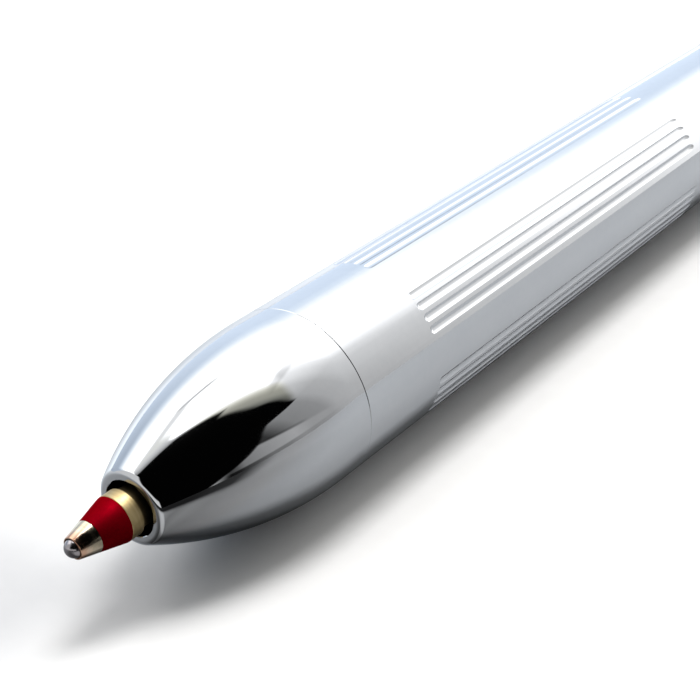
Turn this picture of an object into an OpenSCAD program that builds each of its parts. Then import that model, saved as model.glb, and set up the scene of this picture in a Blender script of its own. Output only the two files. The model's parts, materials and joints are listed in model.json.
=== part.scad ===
// Twist-action multi pen with a red and a black refill, in millimetres.
// The pen lies along Y with its nose towards -Y and +Z up.
// The origin is on the pen's axis, in the middle of the plain stretch of the front barrel.
// At rest the red point is out and the black one is drawn in.

/* [Refills] */
// Diameter of a refill
refill_d = 2.35; // [2.2:0.05:2.6]
// Length of a refill from its writing ball to its open end
refill_len = 67; // [60:1:80]
// Wall of a refill's tube
refill_wall = 0.2; // [0.15:0.05:0.3]
// How far the writing ball stands out of the nose
tip_out = 3.8; // [3.2:0.05:5]
// Length of bare tube that shows ahead of the nose
tube_out = 1; // [0.5:0.05:1.2]
// Diameter of the writing ball
ball_d = 0.84; // [0.6:0.02:1]
// How far the ball stands out of the point's rim
ball_out = 0.35; // [0.25:0.01:0.4]
// Wall of the point's rim around the ball
rim_wall = 0.11; // [0.08:0.01:0.2]
// Length of the colour band on the point
band_len = 1.45; // [1:0.05:1.7]
// Thickness of the colour band
band_t = 0.06; // [0.04:0.01:0.1]
// Length of the point's shank inside the tube
shank_len = 7.5; // [4:0.5:12]
// Diameter of the ink channel in the point
channel_d = 0.5; // [0.3:0.05:0.6]
// Length of the ink column behind the shank
ink_len = 42; // [10:1:48]

/* [Nose] */
// Length of the nose from its rim to the seam
nose_len = 11.75; // [10:0.25:16]
// Length of the straight band at the seam
nose_band = 0.85; // [0.3:0.05:2]
// Wall of the nose
nose_wall = 0.55; // [0.45:0.05:0.7]
// Width of the rim around the hole
nose_rim_w = 0.42; // [0.36:0.01:0.6]
// Rounding of the rim
nose_lip_r = 0.4; // [0.1:0.05:0.45]
// Space between a refill and the hole in the nose
nose_clear = 0.235; // [0.22:0.005:0.4]
// Length of the nose's threaded spigot in the front barrel
spigot_len = 5.5; // [4:0.25:8]
// Wall of the threaded spigot
spigot_wall = 0.4; // [0.3:0.05:0.45]

/* [Barrels] */
// Wall of the two barrels
barrel_wall = 0.5; // [0.4:0.05:0.8]
// Broken edge beside each seam
edge_break = 0.03; // [0.02:0.01:0.15]
// Plain stretch from the nose seam to the flutes
flute_start = 6.25; // [6:0.25:12]
// Length of the flutes
flute_len = 30; // [15:1:40]
// Depth of a flute
flute_depth = 0.08; // [0.04:0.01:0.14]
// Radius of a flute's hollow
flute_r = 0.4; // [0.3:0.05:0.6]
// Angle from one flute to the next
flute_pitch = 8.2; // [7.5:0.1:9]
// Flutes side by side in a group
flutes_in_group = 4; // [2:1:5]
// Groups of flutes round the barrel
flute_groups = 6; // [3:1:6]
// Turn of the first group from the side of the pen
flute_turn = -42.3; // [-180:0.1:180]
// Width of the ring between the barrels
ring_w = 1; // [0.6:0.1:2]
// Depth of that ring below the barrels' surface
ring_inset = 0.2; // [0.16:0.02:0.3]

/* [Twist mechanism] */
// Turn of the refills and their mechanism round the pen's axis
inner_turn = 120; // [-180:5:180]
// Travel of a refill
stroke = 11.5; // [11:0.25:13]
// Space between the two refills as they pass each other
pass_gap = 0.15; // [0.14:0.01:0.3]
// Place on the pen's axis, behind the rim, where an extended refill crosses it
cross_place = 0.5; // [0:0.1:1]
// Depth of a refill in its holder
holder_depth = 5; // [4:0.25:7]
// Wall of a holder
holder_wall = 0.25; // [0.2:0.05:0.4]
// Floor of a holder
holder_floor = 1.2; // [0.8:0.1:2]
// Space between a holder and the barrel
holder_room = 0.12; // [0.1:0.01:0.5]
// Diameter of a plunger's stem
stem_d = 1.7; // [1.4:0.05:1.8]
// Diameter of the peg that holds a stem in its holder
peg_d = 1; // [0.8:0.05:1.2]
// Diameter of a plunger's head
head_d = 2.3; // [2:0.05:2.4]
// Thickness of a plunger's head and of its fin
head_t = 1.2; // [0.8:0.1:2]
// Width of the fin that keeps a plunger from turning
fin_w = 0.9; // [0.6:0.05:1.2]
// Length of the pointed follower on a plunger's head
follower_len = 2.6; // [2.4:0.1:3.5]
// Radius of the follower's blunt end
follower_end_r = 0.15; // [0.1:0.01:0.2]
// Space along the pen between a follower and the cam
follower_gap = 0.4; // [0.35:0.05:0.6]
// Wire of the return springs
spring_wire = 0.35; // [0.3:0.01:0.4]
// Curls of a return spring
spring_curls = 9; // [6:1:12]
// Space between the curls of a squeezed return spring
curl_gap = 0.45; // [0.42:0.01:0.6]
// Space between a spring and the wall of the guide
spring_room = 0.3; // [0.2:0.05:0.5]
// Thickness of the guide's plate
plate_t = 2; // [1.5:0.1:3]
// Length of the guide's threaded plug in the front barrel
plug_len = 6.4; // [5:0.1:9]
// Wall of the guide's tube
guide_wall = 0.62; // [0.55:0.01:0.65]
// Thickness of the friction ring
friction_ring_t = 0.44; // [0.36:0.02:0.5]
// Radius of the cam's bore
cam_bore_r = 0.9; // [0.8:0.05:1]
// Thickness of the cam's base
cam_base_t = 1.4; // [1:0.1:2.5]
// Radius of the cam's hub
hub_r = 2.5; // [2:0.1:2.7]
// Depth of the hub in the drive bush
hub_seat = 3.8; // [3:0.1:6]
// Thickness of the ring that keeps the cam in the guide
keeper_t = 1.5; // [1:0.1:2.5]
// Thickness of the drive bush's web
web_t = 1.5; // [1:0.1:2.5]
// Shank diameter of the hub screw
screw_d = 1.6; // [1.2:0.1:2]
// Length of the hub screw's shank
screw_len = 6; // [4:0.25:8]
// Head diameter of the hub screw
screw_head_d = 3.2; // [2.6:0.1:4]
// Head height of the hub screw
screw_head_h = 1; // [0.8:0.1:1.5]

/* [Cap and clip] */
// Room behind the hub screw
tail_room = 3; // [1:0.5:10]
// Length of the cap's plug in the rear barrel
cap_plug_len = 6; // [4:0.5:10]
// Length of the cap
cap_len = 10; // [9.5:0.25:14]
// Radius of the cap's domed end
dome_r = 7; // [5.5:0.25:12]
// Length of the clip ahead of its pin
clip_len = 32; // [24:1:38]
// Width of the clip at its pin
clip_w = 3.4; // [3:0.1:4]
// Width of the clip at its free end
clip_end_w = 2.4; // [2:0.1:3]
// Thickness of the clip's arm
clip_t = 0.9; // [0.7:0.05:1.1]
// Space between the barrel and the clip's arm
clip_gap = 0.8; // [0.7:0.05:1.5]
// Radius of the clip's bead
bead_r = 0.9; // [0.8:0.05:1.1]
// Width of the clip's ear in the cap
ear_w = 2.4; // [1.8:0.1:2.6]
// Radius of the clip's ear
ear_r = 1.5; // [1.2:0.05:1.6]
// Distance of the clip's pin from the pen's axis
pin_out = 3; // [2.6:0.05:3.1]
// Distance of the clip's pin from the cap's front
pin_back = 3.5; // [3.2:0.1:4]
// Diameter of the clip's pin
pin_d = 1; // [0.8:0.05:1.2]
// Length of the clip behind its pin
tail_len = 3.4; // [3.2:0.1:4]
// Distance of the clip's spring behind the pin
clip_spring_back = 2.75; // [2.7:0.05:2.9]
// Mean radius of the clip's spring
clip_spring_r = 0.6; // [0.5:0.05:0.7]
// Wire of the clip's spring
clip_spring_wire = 0.3; // [0.24:0.01:0.32]
// Curls of the clip's spring
clip_spring_curls = 3; // [2:1:3]
// Depth of the seat of the clip's spring below the barrel's surface
clip_seat_depth = 1.7; // [1.6:0.1:2]

/* [Fits] */
// Radial space where one piece is pushed or screwed into another
push_gap = 0.02; // [0.01:0.01:0.04]
// Radial space where one piece turns in another
run_gap = 0.08; // [0.05:0.01:0.1]
// Radial space where one piece slides in another
slide_gap = 0.05; // [0.03:0.01:0.08]
// Space along the pen where moving faces meet
end_gap = 0.1; // [0.05:0.01:0.2]
// Open space around a moving piece
free_gap = 0.3; // [0.25:0.05:0.5]

/* [Hidden] */
$fn = 96;

// Sides of the pen that the two refills lie on
red_side = -1;
black_side = 1;

// Refill, measured behind the rim of the nose while the point is out
refill_r = refill_d / 2;
tube_in_r = refill_r - refill_wall;
refill_rear = refill_len - tip_out;
ball_r = ball_d / 2;
point_rim_r = ball_r + push_gap + rim_wall;
point_rim_z = ball_out - tip_out;
band_end_z = -tube_out - band_len;
shank_end_z = shank_len - tube_out;
pivot_z = refill_rear - holder_depth / 2;
cone_slope = (refill_r - point_rim_r) / (-tube_out - point_rim_z);

// Lean of an extended refill, from its holder on one side to the hole on the axis
refill_offset = refill_d + pass_gap;
lean = atan(refill_offset / (pivot_z - cross_place));

// Holder and barrel around it
socket_r = refill_r + holder_depth / 2 * sin(lean) + slide_gap;
holder_r = socket_r + holder_wall;
holder_front = refill_rear - holder_depth;
holder_rear = refill_rear + end_gap + holder_floor;
barrel_in_r = refill_offset + holder_r + holder_room;
barrel_r = barrel_in_r + barrel_wall;

// Nose: its outside is an arc that meets the straight band without a kink
nose_hole_r = refill_r + nose_clear;
nose_rim_r = nose_hole_r + nose_rim_w;
arc_z = nose_len - nose_band;
arc_drop = barrel_r - nose_rim_r;
arc_r = (arc_z ^ 2 + arc_drop ^ 2) / (2 * arc_drop);
arc_x = barrel_r - arc_r;
spigot_r = barrel_in_r - push_gap;
spigot_in_r = spigot_r - spigot_wall;

// Guide: plate, plug in the front barrel and tube in the rear barrel
plate_front = holder_rear + stroke + free_gap * 2;
plate_rear = plate_front + plate_t;
front_end = plate_front + plug_len;
neck_r = barrel_in_r - run_gap;
guide_in_r = neck_r - guide_wall;
rear_start = front_end + ring_w + end_gap / 2;
ring_z = rear_start + friction_ring_t * 1.5;

// Plungers and springs
stem_r = stem_d / 2;
spring_r = stem_r + end_gap + spring_wire / 2;
spring_out_r = spring_r + spring_wire / 2;
stem_offset = guide_in_r - spring_room - spring_out_r;
spring_packed = spring_curls * (spring_wire + curl_gap) + spring_wire + 2 * push_gap;
head_front = plate_rear + spring_packed;
head_rear = head_front + head_t;
fin_reach = guide_in_r + guide_wall - end_gap;
slot_front = head_front - free_gap * 2;

// Cam: its front edge climbs by the stroke in half a turn
cam_r = guide_in_r - free_gap / 2;
cam_peak = head_rear + follower_len + follower_gap;
cam_valley = cam_peak + stroke;
cam_base = cam_valley + free_gap * 2;
cam_back = cam_base + cam_base_t;
keeper_front = cam_back + end_gap / 2;
guide_end = keeper_front + keeper_t;
bush_front = guide_end + free_gap;
hub_end = bush_front + hub_seat;
web_front = hub_end + end_gap / 2;
bush_rear = web_front + web_t;

// Rear barrel, cap and clip
rear_end = bush_rear + screw_head_h + tail_room + cap_plug_len;
cap_end = rear_end + cap_len;
dome_z = cap_end - dome_r;
pin_z = rear_end + pin_back;
clip_front = pin_z - clip_len;
clip_tail = pin_z + tail_len;
arm_in = barrel_r + clip_gap;
arm_out = arm_in + clip_t;
bead_x = barrel_r + slide_gap + bead_r;
spring_seat = barrel_r - clip_seat_depth;
pin_len = 2 * sqrt(barrel_r ^ 2 - (pin_out + pin_d / 2) ^ 2) - end_gap;

// The clip is turned so far down that its edge and the barrel touch the same plane
clip_edge = norm([arm_out, clip_w / 2]);
clip_turn = 180 - asin(barrel_r / clip_edge) + atan(clip_w / 2 / arm_out);

// The plain stretch of the front barrel, and its middle
flutes_front = nose_len + flute_start;
flutes_end = flutes_front + flute_len;
grip_mid = (flutes_end + front_end) / 2;

// Small margin by which a cut passes the face it opens
cut = 0.5;

// Placing

// Lays a piece that is drawn along Z, with the rim of the nose at z = 0, along the pen
module along_pen() {
  translate([0, -grip_mid, 0]) rotate([-90, 0, 0]) children();
}

// Lays a piece of the mechanism along the pen, with the refills' sides turned to their place
module in_pen() {
  along_pen() rotate([0, 0, inner_turn]) children();
}

// Places a refill's piece, drawn on the axis, at its side and with its lean
module in_holder(side, back, angle) {
  translate([side * refill_offset, 0, pivot_z + back])
    rotate([0, side * angle, 0])
      translate([0, 0, -pivot_z])
        children();
}

// Turns a piece that is drawn outwards along X to the clip's side
module clip_side() {
  rotate([0, 0, clip_turn]) children();
}

// Basic shapes

module tube(r, in_r, z0, z1) {
  rotate_extrude() translate([in_r, z0]) square([r - in_r, z1 - z0]);
}

// Tube whose outer edges are broken at one or both ends
module barrel_tube(r, in_r, z0, z1, break0, break1) {
  rotate_extrude()
    polygon([
      [in_r, z0], [r - break0, z0], [r, z0 + break0],
      [r, z1 - break1], [r - break1, z1], [in_r, z1]
    ]);
}

// Side view in the XZ plane, given a thickness across it
module side_slab(w) {
  rotate([90, 0, 0]) linear_extrude(height = w, center = true) children();
}

// Springs

// Points to a curl
curl_points = 8;

// Centre line of a coil of wire
function coil(r, curls, z0, z1) =
  let (steps = curl_points * curls)
  [for (i = [0:steps]) [
    r * cos(360 * i / curl_points),
    r * sin(360 * i / curl_points),
    z0 + (z1 - z0) * i / steps
  ]];

// Least space between a wire's own curls, measured from point to point half a curl or more apart
function least_gap(path, wire) =
  let (last = len(path) - 1, half = curl_points / 2)
  min([for (i = [0:last - half]) for (j = [i + half:last]) norm(path[i] - path[j])]) - wire;

// Round wire of six sides along a coil's centre line
module wire_tube(path, wire) {
  sides = 6;
  last = len(path) - 1;
  rise = path[1].z - path[0].z;
  run = norm([path[1].x - path[0].x, path[1].y - path[0].y]);
  slope = atan2(rise, run);
  rings = [for (p = path)
    let (out = [p.x, p.y, 0] / norm([p.x, p.y]), along = [-out.y, out.x, 0])
    let (up = [0, 0, cos(slope)] - along * sin(slope))
    for (k = [0:sides - 1])
      p + wire / 2 * (out * cos(360 * k / sides) + up * sin(360 * k / sides))];
  skin = [for (i = [0:last - 1]) for (k = [0:sides - 1])
    let (a = i * sides + k, b = i * sides + (k + 1) % sides)
    each [[a, b, b + sides], [a, b + sides, a + sides]]];
  end = last * sides;
  front = [for (k = [1:sides - 2]) [0, k + 1, k]];
  back = [for (k = [1:sides - 2]) [end, end + k, end + k + 1]];
  polyhedron(rings, concat(skin, front, back));
}

// Nose

// Region inside the nose's arc, drawn in by a wall
module arc_region(wall, limit_r, z1) {
  intersection() {
    translate([arc_x, arc_z]) circle(r = arc_r - wall, $fn = 360);
    square([limit_r, arc_z]);
  }
  translate([0, arc_z]) square([min(barrel_r - wall, limit_r), z1 - arc_z]);
}

module nose_cone() {
  lip_x = arc_x + sqrt((arc_r - nose_lip_r) ^ 2 - (arc_z - nose_lip_r) ^ 2);
  lip_dir = [lip_x - arc_x, nose_lip_r - arc_z] / (arc_r - nose_lip_r);
  lip_touch = [arc_x, arc_z] + arc_r * lip_dir;
  color("Gainsboro") along_pen() rotate_extrude() {
    difference() {
      union() {
        difference() {
          arc_region(0, barrel_r, nose_len);
          polygon([[lip_x, -cut], [lip_x, 0], lip_touch, [barrel_r, -cut]]);
          polygon([
            [barrel_r - edge_break, nose_len], [barrel_r, nose_len - edge_break],
            [barrel_r + cut, nose_len], [barrel_r, nose_len + cut]
          ]);
        }
        translate([lip_x, nose_lip_r]) circle(r = nose_lip_r);
        translate([0, nose_len - cut]) square([spigot_r, spigot_len + cut]);
      }
      arc_region(nose_wall, spigot_in_r, nose_len + spigot_len + cut);
      translate([0, -cut]) square([nose_hole_r, nose_len]);
      polygon([[0, -cut], [nose_hole_r + cut, -cut], [nose_hole_r, edge_break], [0, edge_break]]);
    }
  }
}

// Barrels

// Cutter for one shallow flute with tapered ends, on the side of the barrel
module flute() {
  translate([barrel_r - flute_depth + flute_r, 0, 0])
    rotate_extrude()
      polygon([
        [0, flutes_front - flute_r], [flute_r, flutes_front],
        [flute_r, flutes_end], [0, flutes_end + flute_r]
      ]);
}

module front_barrel() {
  color("Gainsboro") along_pen() difference() {
    barrel_tube(barrel_r, barrel_in_r, nose_len, front_end, edge_break, edge_break);
    for (group = [0:flute_groups - 1]) for (i = [0:flutes_in_group - 1])
      rotate([0, 0, flute_turn + 360 / flute_groups * group + flute_pitch * (i - (flutes_in_group - 1) / 2)])
        flute();
  }
}

module centre_ring() {
  ring_r = barrel_r - ring_inset;
  color("Gainsboro") along_pen()
    barrel_tube(ring_r, neck_r + push_gap, front_end, front_end + ring_w, edge_break, edge_break);
}

module rear_barrel() {
  color("Gainsboro") along_pen()
    barrel_tube(barrel_r, barrel_in_r, rear_start, rear_end, edge_break, edge_break);
}

// Twist mechanism

module guide_body() {
  ring_in_r = neck_r + slide_gap - friction_ring_t - push_gap;
  color("DarkKhaki") in_pen() difference() {
    union() {
      translate([0, 0, plate_front]) cylinder(r = barrel_in_r - push_gap, h = plug_len);
      translate([0, 0, front_end - cut]) cylinder(r = neck_r, h = guide_end - front_end + cut);
    }
    translate([0, 0, plate_rear]) cylinder(r = guide_in_r, h = guide_end);
    for (side = [red_side, black_side]) {
      translate([side * stem_offset, 0, plate_front - cut])
        cylinder(r = stem_r + slide_gap, h = plate_t + 2 * cut);
      translate([side * (guide_in_r + guide_wall / 2), 0, slot_front + guide_end / 2])
        cube([4 * guide_wall, fin_w + 2 * slide_gap, guide_end], center = true);
    }
    groove_half = friction_ring_t / 2 + push_gap;
    tube(neck_r + cut, ring_in_r, ring_z - groove_half, ring_z + groove_half);
  }
}

module friction_ring() {
  color("DimGray") along_pen() rotate_extrude()
    translate([neck_r + slide_gap - friction_ring_t / 2, ring_z]) circle(d = friction_ring_t);
}

// Helical front edge of the cam, from its peak on the red side to its valley on the black side
module cam_ramp() {
  steps = 48;
  ramp_r = cam_r - push_gap;
  rear = cam_base + cam_base_t / 2;
  points = [for (i = [0:steps - 1])
    let (turn = 360 * i / steps - 180, edge = cam_valley - stroke * abs(turn) / 180)
    for (p = [[cam_bore_r, edge], [ramp_r, edge], [ramp_r, rear], [cam_bore_r, rear]])
      [p.x * cos(turn), p.x * sin(turn), p.y]];
  faces = [for (i = [0:steps - 1]) for (k = [0:3])
    let (a = 4 * i + k, b = 4 * i + (k + 1) % 4, c = 4 * ((i + 1) % steps) + (k + 1) % 4)
    let (d = 4 * ((i + 1) % steps) + k)
    each [[a, b, c], [a, c, d]]];
  polyhedron(points, faces);
}

module cam_sleeve() {
  color("Goldenrod") in_pen() difference() {
    union() {
      cam_ramp();
      translate([0, 0, cam_base]) cylinder(r = cam_r, h = cam_base_t);
      translate([0, 0, cam_back - cut]) cylinder(r = hub_r, h = hub_end - cam_back + cut);
    }
    translate([0, 0, bush_rear - screw_len - end_gap])
      cylinder(d = screw_d + 2 * push_gap, h = screw_len + end_gap);
  }
}

module cam_keeper() {
  color("DarkKhaki") along_pen()
    tube(guide_in_r - push_gap, hub_r + run_gap, keeper_front, guide_end);
}

module drive_bush() {
  color("DarkKhaki") along_pen() difference() {
    translate([0, 0, bush_front]) cylinder(r = barrel_in_r - push_gap, h = bush_rear - bush_front);
    translate([0, 0, bush_front - cut]) cylinder(r = hub_r + push_gap, h = web_front - bush_front + cut);
    translate([0, 0, bush_front]) cylinder(d = screw_d + 2 * slide_gap, h = bush_rear);
  }
}

module hub_screw() {
  slot_w = screw_d / 4;
  color("Silver") along_pen() difference() {
    union() {
      translate([0, 0, bush_rear]) cylinder(d = screw_head_d, h = screw_head_h);
      translate([0, 0, bush_rear - screw_len]) cylinder(d = screw_d, h = screw_len + screw_head_h / 2);
    }
    translate([0, 0, bush_rear + screw_head_h])
      cube([screw_head_d + cut, slot_w, screw_head_h], center = true);
  }
}

// Cap and clip

module end_cap() {
  ear_space = ear_r + free_gap;
  slot_w = ear_w + 2 * end_gap;
  color("Gainsboro") along_pen() difference() {
    union() {
      translate([0, 0, rear_end - cap_plug_len]) cylinder(r = barrel_in_r - push_gap, h = cap_plug_len + cut);
      rotate_extrude() intersection() {
        translate([0, rear_end]) square([barrel_r, cap_len]);
        translate([0, dome_z]) circle(r = dome_r, $fn = 360);
      }
    }
    clip_side() {
      translate([pin_out - ear_space, -slot_w / 2, pin_z - ear_space])
        cube([barrel_r, slot_w, 2 * ear_space]);
      translate([0, 0, pin_z]) translate([pin_out, 0, 0]) rotate([90, 0, 0])
        cylinder(d = pin_d + 2 * push_gap, h = 2 * barrel_r, center = true);
      translate([spring_seat, 0, pin_z + clip_spring_back]) rotate([0, 90, 0])
        cylinder(r = clip_spring_r + clip_spring_wire / 2 + end_gap, h = barrel_r);
    }
  }
}

// Side view of the clip's arm with its round ends and its bead
module clip_arm_profile() {
  translate([arm_in, clip_front]) square([clip_t, clip_tail - clip_front]);
  for (z = [clip_front, clip_tail]) translate([arm_in + clip_t / 2, z]) circle(d = clip_t);
  translate([bead_x, clip_front + 2 * bead_r]) circle(r = bead_r);
}

// Front view of the clip's arm, tapered to its free end
module clip_arm_plan() {
  end_z = clip_front - clip_t;
  tail_z = clip_tail + clip_t;
  polygon([
    [-clip_end_w / 2, end_z], [clip_end_w / 2, end_z],
    [clip_w / 2, pin_z], [clip_w / 2, tail_z],
    [-clip_w / 2, tail_z], [-clip_w / 2, pin_z]
  ]);
}

module clip() {
  color("Gainsboro") along_pen() clip_side() difference() {
    union() {
      intersection() {
        side_slab(2 * clip_w) clip_arm_profile();
        rotate([0, 0, 90]) rotate([90, 0, 0]) linear_extrude(height = 2 * arm_out) clip_arm_plan();
      }
      side_slab(ear_w) {
        translate([pin_out, pin_z]) circle(r = ear_r);
        translate([pin_out, pin_z - ear_r]) square([arm_in + clip_t / 2 - pin_out, 2 * ear_r]);
      }
    }
    translate([pin_out, 0, pin_z]) rotate([90, 0, 0])
      cylinder(d = pin_d + 2 * slide_gap, h = 2 * clip_w, center = true);
  }
}

module clip_pin() {
  color("Silver") along_pen() clip_side() translate([pin_out, 0, pin_z]) rotate([90, 0, 0])
    cylinder(d = pin_d, h = pin_len, center = true);
}

// Coil of the clip's spring, from its seat in the cap to the underside of the clip's tail
clip_spring_path = coil(clip_spring_r, clip_spring_curls,
  spring_seat + push_gap + clip_spring_wire / 2, arm_in - push_gap - clip_spring_wire / 2);

module clip_spring() {
  echo("least gap of the clip spring", least_gap(clip_spring_path, clip_spring_wire));
  color("Silver") along_pen() clip_side() translate([0, 0, pin_z + clip_spring_back]) rotate([0, 90, 0])
    wire_tube(clip_spring_path, clip_spring_wire);
}

// Refills

function cone_r(z) = refill_r - cone_slope * (-tube_out - z);

module refill_tube() {
  color("Goldenrod") tube(refill_r, tube_in_r, -tube_out, refill_rear);
}

module point() {
  sunk = band_t + push_gap / 2;
  color("Goldenrod") difference() {
    rotate_extrude() polygon([
      [channel_d / 2, shank_end_z], [tube_in_r - push_gap, shank_end_z],
      [tube_in_r - push_gap, -tube_out], [refill_r - sunk, -tube_out],
      [cone_r(band_end_z) - sunk, band_end_z], [cone_r(band_end_z), band_end_z],
      [point_rim_r, point_rim_z], [channel_d / 2, point_rim_z]
    ]);
    translate([0, 0, ball_r - tip_out]) sphere(r = ball_r + push_gap);
  }
}

module ball() {
  color("Gray") translate([0, 0, ball_r - tip_out]) sphere(r = ball_r);
}

module band(tint) {
  front = cone_r(band_end_z + push_gap);
  color(tint) rotate_extrude() polygon([
    [refill_r - band_t, -tube_out], [refill_r, -tube_out],
    [front, band_end_z + push_gap], [front - band_t, band_end_z + push_gap]
  ]);
}

module ink(tint) {
  color(tint) translate([0, 0, shank_end_z + push_gap]) cylinder(r = tube_in_r - push_gap, h = ink_len);
}

// Holders, plungers and return springs

module holder(side, back) {
  color("WhiteSmoke") in_pen() translate([0, 0, back]) difference() {
    translate([side * refill_offset, 0, holder_front]) cylinder(r = holder_r, h = holder_rear - holder_front);
    translate([side * refill_offset, 0, holder_front - cut])
      cylinder(r = socket_r, h = holder_depth + end_gap + cut);
    translate([side * stem_offset, 0, refill_rear]) cylinder(d = peg_d + 2 * push_gap, h = holder_rear);
  }
}

module plunger(side, back, tint) {
  color(tint) in_pen() translate([0, 0, back]) {
    translate([side * stem_offset, 0, 0]) {
      translate([0, 0, holder_rear - holder_floor + end_gap]) cylinder(d = peg_d, h = holder_floor);
      translate([0, 0, holder_rear]) cylinder(r = stem_r, h = head_front - holder_rear + head_t / 4);
      translate([0, 0, head_front]) cylinder(d = head_d, h = head_t);
      rotate_extrude() polygon([
        [0, head_rear - head_t / 2], [stem_r, head_rear - head_t / 2], [stem_r, head_rear],
        [follower_end_r, head_rear + follower_len], [0, head_rear + follower_len]
      ]);
    }
    translate([side * (stem_offset + fin_reach) / 2, 0, head_front + head_t / 2])
      cube([fin_reach - stem_offset, fin_w, head_t], center = true);
  }
}

// Centre line of a return spring between the guide's plate and a plunger's head
function return_path(back) = coil(spring_r, spring_curls,
  plate_rear + push_gap + spring_wire / 2, head_front + back - push_gap - spring_wire / 2);

module return_spring(side, back) {
  echo("least gap of a return spring", least_gap(return_path(back), spring_wire));
  color("Silver") in_pen() translate([side * stem_offset, 0, 0])
    wire_tube(return_path(back), spring_wire);
}

module red_refill() { in_pen() in_holder(red_side, 0, lean) children(); }
module black_refill() { in_pen() in_holder(black_side, stroke, 0) children(); }

module red_refill_tube() { red_refill() refill_tube(); }
module red_point() { red_refill() point(); }
module red_ball() { red_refill() ball(); }
module red_band() { red_refill() band("Crimson"); }
module red_ink() { red_refill() ink("FireBrick"); }
module red_holder() { holder(red_side, 0); }
module red_plunger() { plunger(red_side, 0, "Firebrick"); }
module red_return_spring() { return_spring(red_side, 0); }

module black_refill_tube() { black_refill() refill_tube(); }
module black_point() { black_refill() point(); }
module black_ball() { black_refill() ball(); }
module black_band() { black_refill() band("Black"); }
module black_ink() { black_refill() ink("Black"); }
module black_holder() { holder(black_side, stroke); }
module black_plunger() { plunger(black_side, stroke, "DarkSlateGray"); }
module black_return_spring() { return_spring(black_side, stroke); }

nose_cone();
front_barrel();
centre_ring();
guide_body();
friction_ring();
cam_sleeve();
cam_keeper();
drive_bush();
hub_screw();
rear_barrel();
end_cap();
clip();
clip_pin();
clip_spring();
red_refill_tube();
red_point();
red_ball();
red_band();
red_ink();
red_holder();
red_plunger();
red_return_spring();
black_refill_tube();
black_point();
black_ball();
black_band();
black_ink();
black_holder();
black_plunger();
black_return_spring();
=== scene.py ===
import json
import math

import bmesh
import bpy
from mathutils import Matrix, Vector


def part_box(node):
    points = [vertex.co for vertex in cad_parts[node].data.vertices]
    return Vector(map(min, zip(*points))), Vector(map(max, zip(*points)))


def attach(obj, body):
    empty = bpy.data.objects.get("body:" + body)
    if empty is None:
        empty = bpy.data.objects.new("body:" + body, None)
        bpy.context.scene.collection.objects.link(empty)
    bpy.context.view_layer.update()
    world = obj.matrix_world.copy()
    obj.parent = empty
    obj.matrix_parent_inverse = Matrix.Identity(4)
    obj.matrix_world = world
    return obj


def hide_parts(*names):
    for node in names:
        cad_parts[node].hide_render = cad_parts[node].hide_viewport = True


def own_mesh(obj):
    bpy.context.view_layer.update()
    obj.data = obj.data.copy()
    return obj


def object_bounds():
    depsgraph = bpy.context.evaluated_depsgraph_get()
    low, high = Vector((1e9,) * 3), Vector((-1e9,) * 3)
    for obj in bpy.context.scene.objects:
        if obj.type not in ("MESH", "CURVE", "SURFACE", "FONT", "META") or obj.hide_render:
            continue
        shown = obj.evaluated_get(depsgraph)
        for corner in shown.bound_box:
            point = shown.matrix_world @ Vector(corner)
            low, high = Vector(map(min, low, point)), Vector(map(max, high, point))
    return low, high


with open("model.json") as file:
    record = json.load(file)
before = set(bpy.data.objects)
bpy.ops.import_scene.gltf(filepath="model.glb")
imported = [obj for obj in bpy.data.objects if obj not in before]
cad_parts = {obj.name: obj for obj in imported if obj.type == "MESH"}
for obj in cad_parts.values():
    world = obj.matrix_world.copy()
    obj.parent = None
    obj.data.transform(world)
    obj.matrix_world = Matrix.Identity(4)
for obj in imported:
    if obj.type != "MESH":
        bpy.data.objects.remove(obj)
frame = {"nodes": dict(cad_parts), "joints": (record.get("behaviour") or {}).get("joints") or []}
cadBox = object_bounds()
print("frame loaded with", len(frame["nodes"]), "nodes")

scene = bpy.context.scene
scene.view_settings.view_transform = "Standard"
mm = 0.001
joints = {joint["name"]: joint for joint in frame["joints"]}
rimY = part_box("nose_cone")[0].y  # the rim of the nose
barrelWall = 0.5
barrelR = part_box("rear_barrel")[1].z / mm
barrelInR = barrelR - barrelWall


def along(s):  # y of a place s mm behind the rim
    return rimY + s * mm


def spotAt(x, s, z=0):  # x and z in mm from the pen's axis
    return Vector((x * mm, along(s), z * mm))


def startOf(node):
    return (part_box(node)[0].y - rimY) / mm


def endOf(node):
    return (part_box(node)[1].y - rimY) / mm


# camera

photoView = {
    "place": (38.57, -36.11, 37.76),  # across, behind the rim, up
    "forward": (-0.5139, 0.6996, -0.4965),
    "up": (-0.2939, 0.4001, 0.8680),
    "lens": 74.57,
    "sensor": 36,
    "nearest": 2,
}


def placeCamera(view):
    data = bpy.data.cameras.new("photoCamera")
    data.lens = view["lens"]
    data.sensor_width = view["sensor"]
    data.clip_start = view["nearest"] * mm
    camera = bpy.data.objects.new("photoCamera", data)
    scene.collection.objects.link(camera)
    back = -Vector(view["forward"]).normalized()
    right = Vector(view["up"]).cross(back).normalized()
    turn = Matrix((right, back.cross(right), back)).transposed()
    camera.matrix_world = Matrix.Translation(spotAt(*view["place"])) @ turn.to_4x4()
    scene.camera = camera


placeCamera(photoView)
print("camera placed")


# node helpers

def setInput(tree, socket, value):
    if isinstance(value, bpy.types.NodeSocket):
        tree.links.new(value, socket)
    else:
        socket.default_value = value


def addNode(tree, kind, settings=None, **inputs):
    node = tree.nodes.new(kind)
    for key, value in (settings or {}).items():
        setattr(node, key, value)
    for key, value in inputs.items():
        setInput(tree, node.inputs[key], value)
    return node


def sums(tree, operation, *values):
    node = addNode(tree, "ShaderNodeMath", {"operation": operation})
    for socket, value in zip(node.inputs, values):
        setInput(tree, socket, value)
    return node.outputs[0]


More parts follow.
